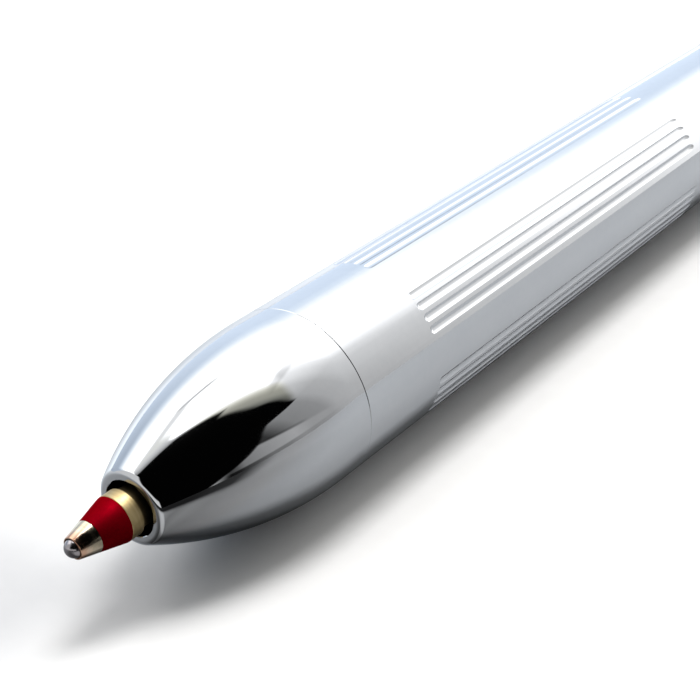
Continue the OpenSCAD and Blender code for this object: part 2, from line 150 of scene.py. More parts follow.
def mapped(tree, value, low, high, toLow=0.0, toHigh=1.0, smooth=True):
    node = addNode(tree, "ShaderNodeMapRange", {"interpolation_type": "SMOOTHSTEP" if smooth else "LINEAR"})
    labels = ("Value", "From Min", "From Max", "To Min", "To Max")
    for label, entry in zip(labels, (value, low, high, toLow, toHigh)):
        setInput(tree, node.inputs[label], entry)
    return node.outputs[0]


def mixed(tree, share, first, second):
    node = addNode(tree, "ShaderNodeMix", {"data_type": "RGBA"})
    for index, entry in ((0, share), (6, first), (7, second)):  # the colour sockets of a Mix node
        setInput(tree, node.inputs[index], entry)
    return node.outputs[2]


def ramp(tree, value, stops):
    node = addNode(tree, "ShaderNodeValToRGB", Fac=value)
    points = node.color_ramp.elements
    while len(points) < len(stops):
        points.new(0.5)
    for point, (place, tone) in zip(points, stops):  # all places before the tones, because the points sort themselves
        point.position = place
    for point, (place, tone) in zip(points, stops):
        point.color = (*tone, 1) if isinstance(tone, tuple) else grey(tone)
    return node.outputs[0]


def profile(tree, value, stops):  # a ramp with its places in the value's own units
    low, high = stops[0][0], stops[-1][0]
    share = mapped(tree, value, low, high, smooth=False)
    return ramp(tree, share, [((place - low) / (high - low), tone) for place, tone in stops])


def scaled(tree, colour, factor):
    node = addNode(tree, "ShaderNodeVectorMath", {"operation": "SCALE"})
    setInput(tree, node.inputs[0], colour)
    setInput(tree, node.inputs["Scale"], factor)
    return node.outputs[0]


def dimmed(tree, colour, share, tone):
    return scaled(tree, colour, mapped(tree, share, 0.0, 1.0, 1.0, tone, smooth=False))


def within(tree, *shares):
    total = shares[0]
    for share in shares[1:]:
        total = sums(tree, "MULTIPLY", total, share)
    return total


def bandAt(tree, value, middle, reach):
    off = sums(tree, "ABSOLUTE", sums(tree, "SUBTRACT", value, middle))
    return mapped(tree, off, reach / 3, reach, 1.0, 0.0)


def slanted(tree, first, second, line):  # 0 on a straight line across a pair of axes
    slope, offset = line
    return sums(tree, "ADD", first, sums(tree, "MULTIPLY_ADD", second, slope, offset))


def edgeAt(tree, value, stops):  # a ramp holds no tone below 0, so the edge is lifted by 1 in it
    return sums(tree, "SUBTRACT", profile(tree, value, [(place, edge + 1) for place, edge in stops]), 1.0)


def grey(value):
    return (value, value, value, 1)


def makeGroup(name, inputs, outputs):
    group = bpy.data.node_groups.new(name, "ShaderNodeTree")
    for label, default in inputs.items():
        kind = "NodeSocketVector" if isinstance(default, tuple) else "NodeSocketFloat"
        socket = group.interface.new_socket(label, in_out="INPUT", socket_type=kind)
        socket.default_value = default
    for label in outputs:
        group.interface.new_socket(label, in_out="OUTPUT", socket_type="NodeSocketFloat")
    return group, group.nodes.new("NodeGroupInput").outputs, group.nodes.new("NodeGroupOutput").inputs


# studio: a broad lamp above, a pale wall on the left, a dim one on the right, an unlit room on the camera's side
# a pair such as ceilingZ is where something starts to show and where it shows in full

studio = {
    "roomFacing": (0.76, -0.65),
    # light by how far a direction faces the room: on the dim wall, at its foot, above it, and ahead of the nose
    "wall": [
        (-0.3, 2.2), (-0.2, 1.6), (-0.14, 1.16), (-0.08, 0.98), (0, 0.86), (0.08, 0.68),
        (0.2, 0.6), (0.27, 0.42), (0.42, 0.34), (0.47, 0.23), (0.51, 0.13), (0.55, 0.05),
    ],
    "wallFoot": [
        (-0.3, 2.2), (-0.2, 1.6), (-0.14, 1.16), (-0.08, 0.98), (0, 0.86), (0.08, 0.68), (0.2, 0.58),
        (0.25, 0.5), (0.37, 0.47), (0.47, 0.55), (0.6, 0.42), (0.7, 0.28), (0.73, 0.12), (0.77, 0.03),
    ],
    "ceiling": [
        (-0.08, 2.2), (-0.03, 2.0), (0, (1.45, 1.43, 1.33)), (0.02, (1.2, 1.18, 1.05)), (0.04, (0.92, 0.905, 0.79)),
        (0.07, (0.7, 0.69, 0.59)), (0.1, (0.55, 0.54, 0.46)), (0.15, (0.46, 0.455, 0.39)), (0.2, (0.25, 0.25, 0.22)),
    ],
    "ahead": [(-0.3, (1.15, 1.15, 1.1)), (-0.18, (1.12, 1.12, 1.07)), (-0.13, 0.95), (-0.07, 0.75), (-0.02, 0.45)],
    "ceilingZ": (0.58, 0.66), "ceilingY": (0.45, 0.39),
    "aheadY": (0.01, -0.1), "aheadBeside": (-0.03, 0.01),
    # the dim wall brightens upwards, a dark ledge slopes across it, and its foot is darker by how far it faces the room
    "wallRise": (0.6, 0.9), "wallTop": 1.6,
    "ledgeLine": (0.42, -0.448), "ledgeBand": (-0.025, 0.03), "ledgeFacing": (0.36, 0.42), "ledgeTone": 0.75,
    "footBelow": (-0.02, -0.07), "footDarkZ": (0.085, 0.05),
    "footDark": [(0.2, 0.04), (0.33, 0.18), (0.42, 0.24), (0.5, 0.45), (0.59, 0.5), (0.72, 0.88)],
    # a thin beam beside the lamp
    "beamLine": (1.3, -0.84), "beamReach": 0.09, "beamY": ((0.32, 0.4), (0.72, 0.66)), "beamTone": 0.7,
    # light by height on the pale wall, which is dimmer low down ahead
    "paleWall": [
        (0, (0.98, 1.13, 1.34)), (0.34, (1.0, 1.15, 1.36)), (0.42, (1.12, 1.27, 1.45)),
        (0.48, (1.35, 1.45, 1.55)), (0.56, 1.75), (0.65, 2.2),
    ],
    "paleY": (0.1, 0.6), "paleZ": (0.3, 0.55), "paleLow": 0.62, "wallsMeetX": (-0.35, -0.05),
    # the lamp is a strip along the pen, straight above it, with a thin edge and a thin gap
    "lamp": 12.0, "lampAcross": ((-0.28, -0.2), (0.16, 0.1)), "lampAhead": (0.9, 0.7),
    "lampFacing": (-0.03, -0.09), "lampZ": (0.2, 0.4),
    "edgeLine": (0.4, 0.48), "edgeReach": 0.07, "edgeY": (0.25, 0.1), "edgeTone": 1.2,
    "gapLine": (-0.51, 0.62), "gapReach": 0.03, "gapY": ((0.1, 0.14), (0.36, 0.26)), "gapTone": 0.8,
    # the room's outline: its top, y by x, and its foot, y by z
    "roomTop": [
        (-0.4, -0.95), (-0.27, -0.42), (-0.23, -0.3), (-0.19, -0.24), (-0.14, -0.155), (-0.08, -0.06), (0, 0),
        (0.07, 0.055), (0.13, 0.1), (0.165, 0.12), (0.18, 0.15), (0.2, 0.115), (0.24, 0.1), (0.28, 0.13),
        (0.34, 0.162), (0.44, 0.206), (0.5, 0.25), (0.55, 0.32), (0.6, 0.365), (0.66, 0.4), (1, 0.8),
    ],
    "roomFoot": [
        (0, -0.1), (0.1, -0.03), (0.15, 0.02), (0.2, 0.06), (0.25, 0.1), (0.31, 0.138), (0.36, 0.165),
        (0.43, 0.185), (0.49, 0.2), (0.555, 0.23), (0.57, 0.29), (0.578, 0.36), (0.61, 0.5), (1, 0.9),
    ],
    "roomTopSoft": (-0.03, 0.035), "roomFootSoft": (-0.015, 0.015), "roomTone": 0.001,
    # the lit table on the camera's side of the pen, and where the room hides it
    "tableY": (-0.42, -0.5), "hiddenX": (-0.2, -0.08), "hiddenZ": (0.22, 0.32), "tableTone": 0.85,
    "backdrop": 1.0,
}


def facingRoom(tree, x, y):
    byX, byY = studio["roomFacing"]
    return sums(tree, "MULTIPLY_ADD", x, byX, sums(tree, "MULTIPLY", y, byY))


def dimWall(tree, look, y, z, facing):
    wall = profile(tree, facing, look["wall"])
    wall = scaled(tree, wall, mapped(tree, z, *look["wallRise"], 1.0, look["wallTop"], smooth=False))
    height = slanted(tree, z, y, look["ledgeLine"])
    wall = mixed(tree, mapped(tree, height, *look["footBelow"]), wall, profile(tree, facing, look["wallFoot"]))
    ledge = within(tree, bandAt(tree, height, *look["ledgeBand"]), mapped(tree, facing, *look["ledgeFacing"]))
    wall = dimmed(tree, wall, ledge, look["ledgeTone"])
    dark = within(tree, mapped(tree, z, *look["footDarkZ"]), profile(tree, facing, look["footDark"]))
    return scaled(tree, wall, sums(tree, "SUBTRACT", 1.0, dark))


def thinLine(tree, look, name, x, y):  # a thin line between two places in y
    line = slanted(tree, x, y, look[name + "Line"])
    ends = [mapped(tree, y, *end) for end in look[name + "Y"]]
    return within(tree, bandAt(tree, line, 0.0, look[name + "Reach"]), *ends)


def buildStudio(look):
    world = bpy.data.worlds.new("studio")
    scene.world = world
    world.use_nodes = True
    tree = world.node_tree
    tree.nodes.clear()
    direction = addNode(tree, "ShaderNodeTexCoord").outputs["Generated"]
    x, y, z = addNode(tree, "ShaderNodeSeparateXYZ", Vector=direction).outputs
    ray = addNode(tree, "ShaderNodeLightPath").outputs
    facing = facingRoom(tree, x, y)
    above = within(tree, mapped(tree, z, *look["ceilingZ"]), mapped(tree, y, *look["ceilingY"]))
    right = mixed(tree, above, dimWall(tree, look, y, z, facing), profile(tree, facing, look["ceiling"]))
    right = dimmed(tree, right, thinLine(tree, look, "beam", x, y), look["beamTone"])
    low = mapped(tree, y, *look["paleY"], look["paleLow"], 1.0, smooth=False)
    left = scaled(tree, profile(tree, z, look["paleWall"]), mapped(tree, z, *look["paleZ"], low, 1.0))
    light = mixed(tree, mapped(tree, x, *look["wallsMeetX"]), left, right)
    # the lamp
    across, ahead = sums(tree, "DIVIDE", x, z), sums(tree, "DIVIDE", y, z)
    sides = [mapped(tree, across, *side) for side in look["lampAcross"]]
    strip = within(
        tree, *sides, mapped(tree, ahead, *look["lampAhead"]),
        mapped(tree, facing, *look["lampFacing"]), mapped(tree, z, *look["lampZ"]),
    )
    light = mixed(tree, strip, light, grey(look["lamp"]))
    # beside the lamp, its thin edge and the dimmer part ahead of the nose
    beside = slanted(tree, x, y, look["edgeLine"])
    edge = within(tree, bandAt(tree, beside, 0.0, look["edgeReach"]), mapped(tree, y, *look["edgeY"]))
    light = mixed(tree, edge, light, grey(look["edgeTone"]))
    dim = within(tree, mapped(tree, y, *look["aheadY"]), mapped(tree, beside, *look["aheadBeside"]))
    light = mixed(tree, dim, light, profile(tree, facing, look["ahead"]))
    light = mixed(tree, thinLine(tree, look, "gap", x, y), light, grey(look["gapTone"]))
    # the unlit room, and the table in front of it
    top = sums(tree, "SUBTRACT", edgeAt(tree, x, look["roomTop"]), y)
    foot = sums(tree, "SUBTRACT", edgeAt(tree, z, look["roomFoot"]), y)
    room = within(tree, mapped(tree, top, *look["roomTopSoft"]), mapped(tree, foot, *look["roomFootSoft"]))
    light = mixed(tree, room, light, grey(look["roomTone"]))
    hidden = within(tree, mapped(tree, x, *look["hiddenX"]), mapped(tree, z, *look["hiddenZ"]))
    bare = sums(tree, "SUBTRACT", 1.0, hidden)
    table = within(tree, mapped(tree, y, *look["tableY"]), bare, ray["Is Glossy Ray"])
    light = mixed(tree, table, light, grey(look["tableTone"]))
    light = mixed(tree, ray["Is Camera Ray"], light, grey(look["backdrop"]))
    background = addNode(tree, "ShaderNodeBackground", Color=light)
    tree.links.new(background.outputs[0], addNode(tree, "ShaderNodeOutputWorld").inputs["Surface"])


buildStudio(studio)
print("studio lit")


# shared surface effects

effects = {
    "patchSpread": (0.35, 0.68), "patchDetail": 4.0, "patchRoughness": 0.55,
    "waveScale": 314.16,  # of a wave with a pitch of 1 mm
    "ringWander": 0.6, "ringStretch": (600.0, 9000.0, 600.0), "ringDetail": 3.0,
    "grainDetail": 5.0, "grainRoughness": 0.6,
    "toneSpread": (0.3, 0.7),
    "bumpDepth": 0.01, "stainAndShadeLeast": 0.8,
}


def objectCoords(tree):
    return addNode(tree, "ShaderNodeTexCoord").outputs["Object"]


def makeHandling(e):  # soft patches where a polished or moulded face has been handled
    inputs = {"Patch Size": 3.0, "Low": 0.03, "High": 0.07}
    group, given, out = makeGroup("handling", inputs, ("Roughness", "Tone"))
    scale = sums(group, "DIVIDE", 1 / mm, given["Patch Size"])
    noise = addNode(
        group, "ShaderNodeTexNoise", Vector=objectCoords(group), Scale=scale,
        Detail=e["patchDetail"], Roughness=e["patchRoughness"],
    )
    patch = mapped(group, noise.outputs["Fac"], *e["patchSpread"])
    setInput(group, out["Tone"], patch)
    setInput(group, out["Roughness"], mapped(group, patch, 0.0, 1.0, given["Low"], given["High"], smooth=False))
    return group


def makeTurning(e):  # fine rings that a lathe leaves round the pen's axis
    inputs = {"Pitch": 0.08, "Lean": (0.0, 0.0, 0.0)}
    group, given, out = makeGroup("turning", inputs, ("Height", "Tone"))
    turned = addNode(group, "ShaderNodeMapping", Vector=objectCoords(group), Rotation=given["Lean"]).outputs[0]
    scale = sums(group, "DIVIDE", e["waveScale"], given["Pitch"])
    wave = addNode(
        group, "ShaderNodeTexWave", {"bands_direction": "Y"}, Vector=turned, Scale=scale,
        Distortion=e["ringWander"], Detail=1.0,
    )
    stretched = addNode(group, "ShaderNodeMapping", Vector=turned, Scale=e["ringStretch"]).outputs[0]
    noise = addNode(group, "ShaderNodeTexNoise", Vector=stretched, Scale=1.0, Detail=e["ringDetail"])
    setInput(group, out["Height"], sums(group, "MULTIPLY", wave.outputs["Fac"], noise.outputs["Fac"]))
    setInput(group, out["Tone"], mapped(group, noise.outputs["Fac"], *e["toneSpread"]))
    return group


def makeGrain(e):  # close grain of a moulded or printed face
    group, given, out = makeGroup("grain", {"Grain Size": 0.1}, ("Height", "Tone"))
    scale = sums(group, "DIVIDE", 1 / mm, given["Grain Size"])
    noise = addNode(
        group, "ShaderNodeTexNoise", Vector=objectCoords(group), Scale=scale,
        Detail=e["grainDetail"], Roughness=e["grainRoughness"],
    )
    setInput(group, out["Height"], noise.outputs["Fac"])
    setInput(group, out["Tone"], mapped(group, noise.outputs["Fac"], *e["toneSpread"]))
    return group


handling, turning, grain = makeHandling(effects), makeTurning(effects), makeGrain(effects)


def stainedAndShaded(tree, colour, finish, patchTone):  # a tint on one stretch: the ink stain round a point's rim, and painted shade on a refill's neck
    stainAndShade = finish["stainAndShade"]
    y = addNode(tree, "ShaderNodeSeparateXYZ", Vector=objectCoords(tree)).outputs["Y"]
    clear, full = (along(stainAndShade[end] + finish["back"]) for end in ("clear", "full"))
    share = mapped(tree, y, clear, full, 0.0, stainAndShade["strength"])
    uneven = mapped(tree, patchTone, 0.0, 1.0, effects["stainAndShadeLeast"], 1.0, smooth=False)
    return mixed(tree, sums(tree, "MULTIPLY", share, uneven), colour, (*stainAndShade["colour"], 1))


def makeFinish(name, finish):
    material = bpy.data.materials.new(name)
    material.use_nodes = True
    tree = material.node_tree
    shader = tree.nodes["Principled BSDF"]
    for key, value in finish.get("fixed", {}).items():
        shader.inputs[key].default_value = value
    patch = addNode(tree, "ShaderNodeGroup", {"node_tree": handling})
    for key, value in zip(("Patch Size", "Low", "High"), (finish["patch"], *finish["rough"])):
        patch.inputs[key].default_value = value
    tree.links.new(patch.outputs["Roughness"], shader.inputs["Roughness"])
    marks = addNode(tree, "ShaderNodeGroup", {"node_tree": turning if "pitch" in finish else grain})
    if "pitch" in finish:
        marks.inputs["Pitch"].default_value = finish["pitch"]
        marks.inputs["Lean"].default_value = finish.get("lean", (0, 0, 0))
    else:
        marks.inputs["Grain Size"].default_value = finish["grain"]
    tone = sums(tree, "MULTIPLY", sums(tree, "ADD", patch.outputs["Tone"], marks.outputs["Tone"]), 0.5)
    light, dark = ((*colour, 1) for colour in finish["colours"])
    colour = mixed(tree, tone, light, dark)
    if "stainAndShade" in finish:
        colour = stainedAndShaded(tree, colour, finish, patch.outputs["Tone"])
    tree.links.new(colour, shader.inputs["Base Color"])
    if "relief" in finish:
        bump = addNode(
            tree, "ShaderNodeBump", Height=marks.outputs["Height"],
            Strength=finish["relief"], Distance=effects["bumpDepth"] * mm,
        )
        tree.links.new(bump.outputs["Normal"], shader.inputs["Normal"])
    return material


metal = {"Metallic": 1.0}
redSheen = {"Metallic": 0.5, "Specular IOR Level": 0.0, "Specular Tint": (0.9, 0.02, 0.05, 1)}
blackSheen = {"Metallic": 0.5, "Specular IOR Level": 0.1}
finishes = {
    "chrome": {
        "colours": ((0.615, 0.625, 0.640), (0.590, 0.602, 0.620)),
        "rough": (0.025, 0.05), "patch": 4.0, "grain": 0.4, "fixed": metal,
    },
    "brass": {
        "colours": ((0.72, 0.56, 0.28), (0.62, 0.46, 0.21)),
        "rough": (0.2, 0.32), "patch": 2.0, "pitch": 0.12, "relief": 0.3, "fixed": metal,
    },
    "carbide": {
        "colours": ((0.40, 0.375, 0.385), (0.31, 0.29, 0.30)),
        "rough": (0.12, 0.22), "patch": 0.25, "grain": 0.05, "relief": 0.35, "fixed": metal,
    },
    "steel": {
        "colours": ((0.60, 0.61, 0.63), (0.50, 0.51, 0.53)),
        "rough": (0.2, 0.32), "patch": 1.5, "grain": 0.2, "relief": 0.2, "fixed": metal,
    },
    "rubber": {
        "colours": ((0.035, 0.035, 0.036), (0.02, 0.02, 0.02)),
        "rough": (0.6, 0.8), "patch": 1.0, "grain": 0.08, "relief": 0.5,
    },
    "acetal": {
        "colours": ((0.82, 0.81, 0.76), (0.77, 0.76, 0.71)),
        "rough": (0.34, 0.45), "patch": 2.5, "grain": 0.12, "relief": 0.3,
    },
    "holderPlastic": {
        "colours": ((0.86, 0.86, 0.84), (0.80, 0.80, 0.78)),
        "rough": (0.36, 0.48), "patch": 2.5, "grain": 0.12, "relief": 0.3,
    },
    "redPlastic": {
        "colours": ((0.50, 0.02, 0.04), (0.42, 0.015, 0.03)),
        "rough": (0.3, 0.42), "patch": 2.0, "grain": 0.12, "relief": 0.3,
    },
    "blackPlastic": {
        "colours": ((0.035, 0.035, 0.04), (0.025, 0.025, 0.03)),
        "rough": (0.3, 0.42), "patch": 2.0, "grain": 0.12, "relief": 0.3,
    },
    "redLacquer": {
        "colours": ((0.2, 0.0003, 0.005), (0.16, 0.0002, 0.004)),
        "rough": (0.45, 0.55), "patch": 0.7, "grain": 0.15, "relief": 0.25, "fixed": redSheen,
    },
    "blackLacquer": {
        "colours": ((0.012, 0.012, 0.013), (0.006, 0.006, 0.007)),
        "rough": (0.4, 0.5), "patch": 0.7, "grain": 0.15, "relief": 0.25, "fixed": blackSheen,
    },
    "redInk": {
        "colours": ((0.40, 0.0, 0.02), (0.30, 0.0, 0.015)),
        "rough": (0.12, 0.2), "patch": 3.0, "grain": 0.5, "relief": 0.2,
    },
    "blackInk": {
        "colours": ((0.012, 0.012, 0.016), (0.006, 0.006, 0.008)),
        "rough": (0.12, 0.2), "patch": 3.0, "grain": 0.5, "relief": 0.2,
    },
}
refillFinishes = {
    "Tube": {
        "colours": ((0.48, 0.38, 0.205), (0.38, 0.285, 0.135)),
        "rough": (0.36, 0.48), "patch": 0.8, "pitch": 0.09, "relief": 0.25, "fixed": metal,
    },
    "Point": {
        "colours": ((0.68, 0.60, 0.47), (0.56, 0.48, 0.35)),
        "rough": (0.1, 0.2), "patch": 0.6, "pitch": 0.06, "relief": 0.2, "fixed": metal,
    },
}
# painted shade: the neck behind a refill's collar is darkened almost to black, standing in for the shade inside the
# nose's hole
paintedNeckShade = {"clear": -0.35, "full": 0.3, "strength": 1.0, "colour": (0.03, 0.022, 0.012)}
stainsAndShade = {
    "redTube": paintedNeckShade,
    "blackTube": paintedNeckShade,
    "redPoint": {"clear": -2.75, "full": -3.35, "strength": 0.75, "colour": (0.62, 0.30, 0.19)},
    "blackPoint": {"clear": -2.9, "full": -3.4, "strength": 0.6, "colour": (0.16, 0.15, 0.17)},
}
tiltAxis = Vector(joints["red_tilt"]["axis"])
lean = math.radians(joints["red_tilt"]["range_deg"][1])
drawnBack = (joints["black_tilt"]["pos_m"][1] - joints["red_tilt"]["pos_m"][1]) / mm
refillRests = {  # how each refill lies at rest: its lean, and how far it is drawn back
    "red": {"lean": Matrix.Rotation(lean, 3, tiltAxis).to_euler(), "back": 0},
    "black": {"lean": (0, 0, 0), "back": drawnBack},
}
looks = {name: makeFinish(name, finish) for name, finish in finishes.items()}
for colour, rest in refillRests.items():
    for label, finish in refillFinishes.items():
        name = colour + label
        looks[name] = makeFinish(name, dict(finish, stainAndShade=stainsAndShade[name], **rest))
print(len(looks), "finishes made")


# mesh helpers

mergeDist = 1e-7
sharpAngle = 60


def newVerts(made, key="geom"):
    return [item for item in made[key] if isinstance(item, bmesh.types.BMVert)]


def spinVert(bm, vert, centre, axis, angle, steps):
    made = bmesh.ops.spin(bm, geom=[vert], cent=centre, axis=axis, angle=math.radians(angle), steps=steps)
    return newVerts(made, "geom_last")[0]


def drawLine(bm, line):  # (s, r) is a straight stretch to there, (s, r, angle, steps) an arc round there
    vert = None
    for place, radius, *arc in line:
        spot = spotAt(radius, place)
        if arc:
            vert = spinVert(bm, vert, spot, (0, 0, 1), *arc)
        elif vert is None:
            vert = bm.verts.new(spot)
        else:
            vert = bmesh.ops.extrude_vert_indiv(bm, verts=[vert])["verts"][0]
            vert.co = spot


def closeMesh(bm):
    bmesh.ops.remove_doubles(bm, verts=bm.verts, dist=mergeDist)
    bmesh.ops.recalc_face_normals(bm, faces=bm.faces)


def turnOnLathe(line, steps):
    bm = bmesh.new()
    drawLine(bm, line)
    bmesh.ops.spin(
        bm, geom=bm.verts[:] + bm.edges[:], cent=(0, 0, 0), axis=(0, 1, 0),
        angle=2 * math.pi, steps=steps, use_merge=True,
    )
    closeMesh(bm)
    return bm


def liesAt(edge, place):
    return all(abs(vert.co.y - along(place)) < mergeDist for vert in edge.verts)


def sharpEdges(bm):
    return [e for e in bm.edges if len(e.link_faces) == 2 and e.calc_face_angle(0) > math.radians(sharpAngle)]


def roundEdges(bm, edges, width, segments, clamp=False):
    bmesh.ops.bevel(
        bm, geom=edges, offset=width * mm, affect="EDGES", segments=segments,
        profile=0.5, material=-1, clamp_overlap=clamp,
    )


def putPiece(bm, name, look, body, slot, *nodes, crease=28):
    for face in bm.faces:
        face.smooth = True
    for edge in bm.edges:
        edge.smooth = len(edge.link_faces) == 2 and edge.calc_face_angle(0) < math.radians(crease)
    mesh = bpy.data.meshes.new(name)
    bm.to_mesh(mesh)
    bm.free()
    mesh.materials.append(looks[look])
    piece = bpy.data.objects.new(name, mesh)
    scene.collection.objects.link(piece)
    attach(piece, body)
    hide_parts(*nodes)
    print("made", name, "with", len(mesh.polygons), "faces")
    return piece


# nose

nose = {
    "length": 11.75, "bandLen": 0.85, "wall": 0.55, "holeR": 1.41, "holeEdge": 0.027, "rimW": 0.42, "lipR": 0.4,
    "edgeBreak": 0.03, "seamDrop": 0.0175,
    "spigotEnd": endOf("nose_cone"), "spigotGap": 0.02, "spigotWall": 0.4,
    "steps": 256, "lipSteps": 16, "arcSteps": 64, "insideSteps": 24,
}


def buildNose(n):
    arcS = n["length"] - n["bandLen"]
    drop = barrelR - n["holeR"] - n["rimW"]
    arcR = (arcS ** 2 + drop ** 2) / (2 * drop)
    centre = barrelR - arcR
    lipX = centre + math.sqrt((arcR - n["lipR"]) ** 2 - (arcS - n["lipR"]) ** 2)
    lipAngle = math.degrees(math.asin((arcS - n["lipR"]) / (arcR - n["lipR"])))
    innerR = arcR - n["wall"]
    spigotR = barrelInR - n["spigotGap"]
    spigotInR = spigotR - n["spigotWall"]
    wide = math.degrees(math.acos((spigotInR - centre) / innerR))
    narrow = math.degrees(math.acos((n["holeR"] - centre) / innerR))
    line = [
        (n["edgeBreak"], n["holeR"]),
        (0, n["holeR"] + n["holeEdge"]),
        (0, lipX),
        (n["lipR"], lipX, 90 - lipAngle, n["lipSteps"]),
        (arcS, centre, lipAngle, n["arcSteps"]),
        (n["length"] - n["edgeBreak"], barrelR),
        (n["length"], barrelR - n["seamDrop"]),
        (n["length"], spigotR),
        (n["spigotEnd"], spigotR),
        (n["spigotEnd"], spigotInR),
        (arcS - innerR * math.sin(math.radians(wide)), spigotInR),
        (arcS, centre, wide - narrow, n["insideSteps"]),
        (n["edgeBreak"], n["holeR"]),
    ]
    putPiece(turnOnLathe(line, n["steps"]), "noseCone", "chrome", "front", "chrome", "nose_cone")


buildNose(nose)


# front barrel with its flutes

fluted = {
    "start": startOf("front_barrel"), "end": endOf("front_barrel"), "edgeBreak": 0.03,
    "flutesFront": 18.0, "flutesEnd": 48.0, "plainEdge": 0.05,
    "fluteR": 0.4, "fluteDepth": 0.08, "pitch": 8.2, "inGroup": 4, "groups": 6, "turn": -42.3,
    "hollowSteps": 10, "landSteps": 3, "plainSteps": 24, "crease": 14,
    "runOut": (0, 0.3, 0.55, 0.75, 0.88, 0.96),  # rings in a flute's round end
    "rearStretch": 3.0,  # the rear end is drawn out
}


def barrelSpot(radius, place, angle):
    turn = math.radians(angle)
    return spotAt(radius * math.cos(turn), place, -radius * math.sin(turn))


def drawFlutes(bm, f, place, hollowR):  # one closed line round the barrel, an arc for each hollow and each land
    out = barrelR - f["fluteDepth"] + f["fluteR"]
    half = math.degrees(math.acos((out ** 2 + barrelR ** 2 - hollowR ** 2) / (2 * out * barrelR)))
    swing = math.degrees(math.asin(barrelR * math.sin(math.radians(half)) / hollowR))
    groupTurn = 360 / f["groups"]
    groupSpan = f["pitch"] * (f["inGroup"] - 1)
    first = f["turn"] - groupSpan / 2
    axis = (0, 1, 0)
    before = set(bm.edges)
    vert = bm.verts.new(barrelSpot(barrelR, place, first - half))
    for group in range(f["groups"]):
        for i in range(f["inGroup"]):
            centre = barrelSpot(out, place, first + groupTurn * group + f["pitch"] * i)
            vert = spinVert(bm, vert, centre, axis, -2 * swing, f["hollowSteps"])
            last = i == f["inGroup"] - 1
            land = (groupTurn - groupSpan if last else f["pitch"]) - 2 * half
            vert = spinVert(bm, vert, (0, 0, 0), axis, land, f["plainSteps"] if last else f["landSteps"])
    fresh = {v for e in bm.edges if e not in before for v in e.verts}
    bmesh.ops.remove_doubles(bm, verts=list(fresh), dist=mergeDist)
    return [e for e in bm.edges if e not in before]


def nextRing(bm, ring, place, radius):
    made = bmesh.ops.extrude_edge_only(bm, edges=ring)
    fresh = set(newVerts(made))
    for vert in fresh:
        share = radius * mm / math.hypot(vert.co.x, vert.co.z)
        vert.co = (vert.co.x * share, along(place), vert.co.z * share)
    return [e for e in made["geom"] if isinstance(e, bmesh.types.BMEdge) and fresh.issuperset(e.verts)]


def buildFrontBarrel(f):
    bm = bmesh.new()
    # a ball-nosed cutter reaches past the flute by this much
    foot = math.sqrt(f["fluteR"] ** 2 - (f["fluteR"] - f["fluteDepth"]) ** 2)
    rearFoot = foot * f["rearStretch"]
    places = [(f["flutesFront"] - foot * share, foot * share) for share in reversed(f["runOut"])]
    places += [(f["flutesEnd"] + rearFoot * share, foot * share) for share in f["runOut"]]
    rings = [drawFlutes(bm, f, place, math.sqrt(f["fluteR"] ** 2 - past ** 2)) for place, past in places]
    for one, other in zip(rings, rings[1:]):
        bmesh.ops.bridge_loops(bm, edges=one + other)
    front, rear = f["flutesFront"] - foot, f["flutesEnd"] + rearFoot
    back = nextRing(bm, rings[-1], rear, barrelR)
    nextRing(bm, back, rear + f["plainEdge"], barrelR)
    ring = rings[0]
    for place, radius in (
        (front, barrelR),
        (front - f["plainEdge"], barrelR),
        (f["start"] + f["edgeBreak"], barrelR),
        (f["start"], barrelR - nose["seamDrop"]),
        (f["start"], barrelInR),
        (f["end"], barrelInR),
        (f["end"], barrelR - f["edgeBreak"]),
        (f["end"] - f["edgeBreak"], barrelR),
        (rear + f["plainEdge"], barrelR),
    ):
        ring = nextRing(bm, ring, place, radius)
    closeMesh(bm)
    putPiece(bm, "frontBarrel", "chrome", "front", "chrome", "front_barrel", crease=f["crease"])


buildFrontBarrel(fluted)


# ring between the barrels and rear barrel

ringPiece = {
    "start": startOf("centre_ring"), "end": endOf("centre_ring"),
    "inset": 0.2, "neckGap": 0.06, "edgeBreak": 0.03, "steps": 192,
}
rearTube = {"start": startOf("rear_barrel"), "end": endOf("rear_barrel"), "edgeBreak": 0.03, "steps": 192}


def tubeLine(p, outR, inR):
    start, end, broken = p["start"], p["end"], p["edgeBreak"]
    return [
        (start, inR), (start, outR - broken), (start + broken, outR),
        (end - broken, outR), (end, outR - broken), (end, inR), (start, inR),
    ]


def buildRing(p):
    line = tubeLine(p, barrelR - p["inset"], barrelInR - p["neckGap"])
    putPiece(turnOnLathe(line, p["steps"]), "centreRing", "chrome", "front", "chrome", "centre_ring")


def buildRearBarrel(p):
    line = tubeLine(p, barrelR, barrelInR)
    putPiece(turnOnLathe(line, p["steps"]), "rearBarrel", "chrome", "rear", "chrome", "rear_barrel")


buildRing(ringPiece)
buildRearBarrel(rearTube)


# cap, clip, pin and spring; these are drawn outwards along X and turned to the clip's side

clipAxis = Vector(joints["clip_pivot"]["axis"])
clipTurn = Matrix.Rotation(math.atan2(clipAxis.x, clipAxis.z), 4, "Y")
pinPlace = (joints["clip_pivot"]["pos_m"][1] - rimY) / mm
pinOut = 3.0
rodSegments = 64


def scratchPiece(bm):
    mesh = bpy.data.meshes.new("scratch")
    bm.to_mesh(mesh)
    bm.free()
    piece = bpy.data.objects.new("scratch", mesh)
    scene.collection.objects.link(piece)
    return piece


